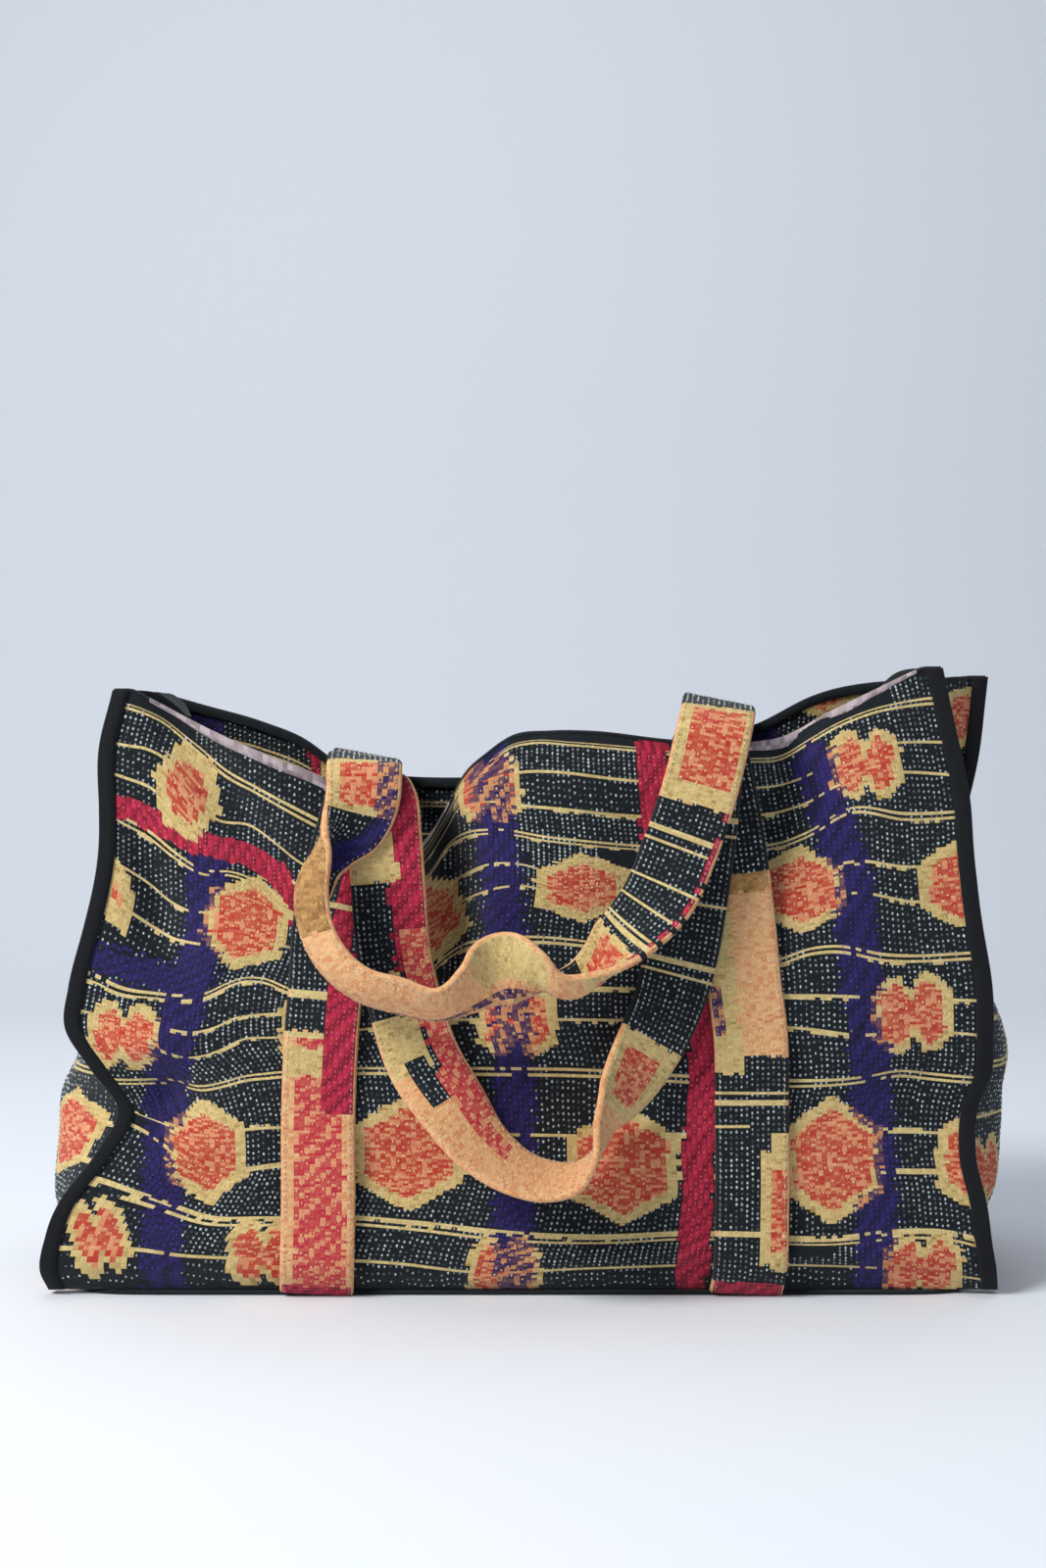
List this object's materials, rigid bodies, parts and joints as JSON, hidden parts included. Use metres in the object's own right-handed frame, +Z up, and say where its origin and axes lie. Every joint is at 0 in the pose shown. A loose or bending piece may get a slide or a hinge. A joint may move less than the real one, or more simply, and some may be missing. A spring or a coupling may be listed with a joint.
{
  "type": "market bag",
  "caption": "Soft open-topped quilted cloth bag with a flat base, bound corner seams and two flat strap handles folded over its front.",
  "frame": {"origin": "centre of the base, on the surface that the bag stands on", "axes": "+X along the front panel to the right as seen from the front, +Y from front to back, +Z up"},
  "size_m": [0.5549, 0.2584, 0.343],
  "materials": {
    "quilted_cloth": "matt quilted cotton",
    "binding": "matt cotton tape",
    "strap_cloth": "matt quilted cotton"
  },
  "bodies": {
    "root": {"base_panel": "quilted_cloth", "front_panel": "quilted_cloth", "back_panel": "quilted_cloth", "left_gusset": "quilted_cloth", "right_gusset": "quilted_cloth", "front_left_binding": "binding", "front_right_binding": "binding", "back_left_binding": "binding", "back_right_binding": "binding", "front_handle": "strap_cloth", "back_handle": "strap_cloth"}
  },
  "joints": []
}
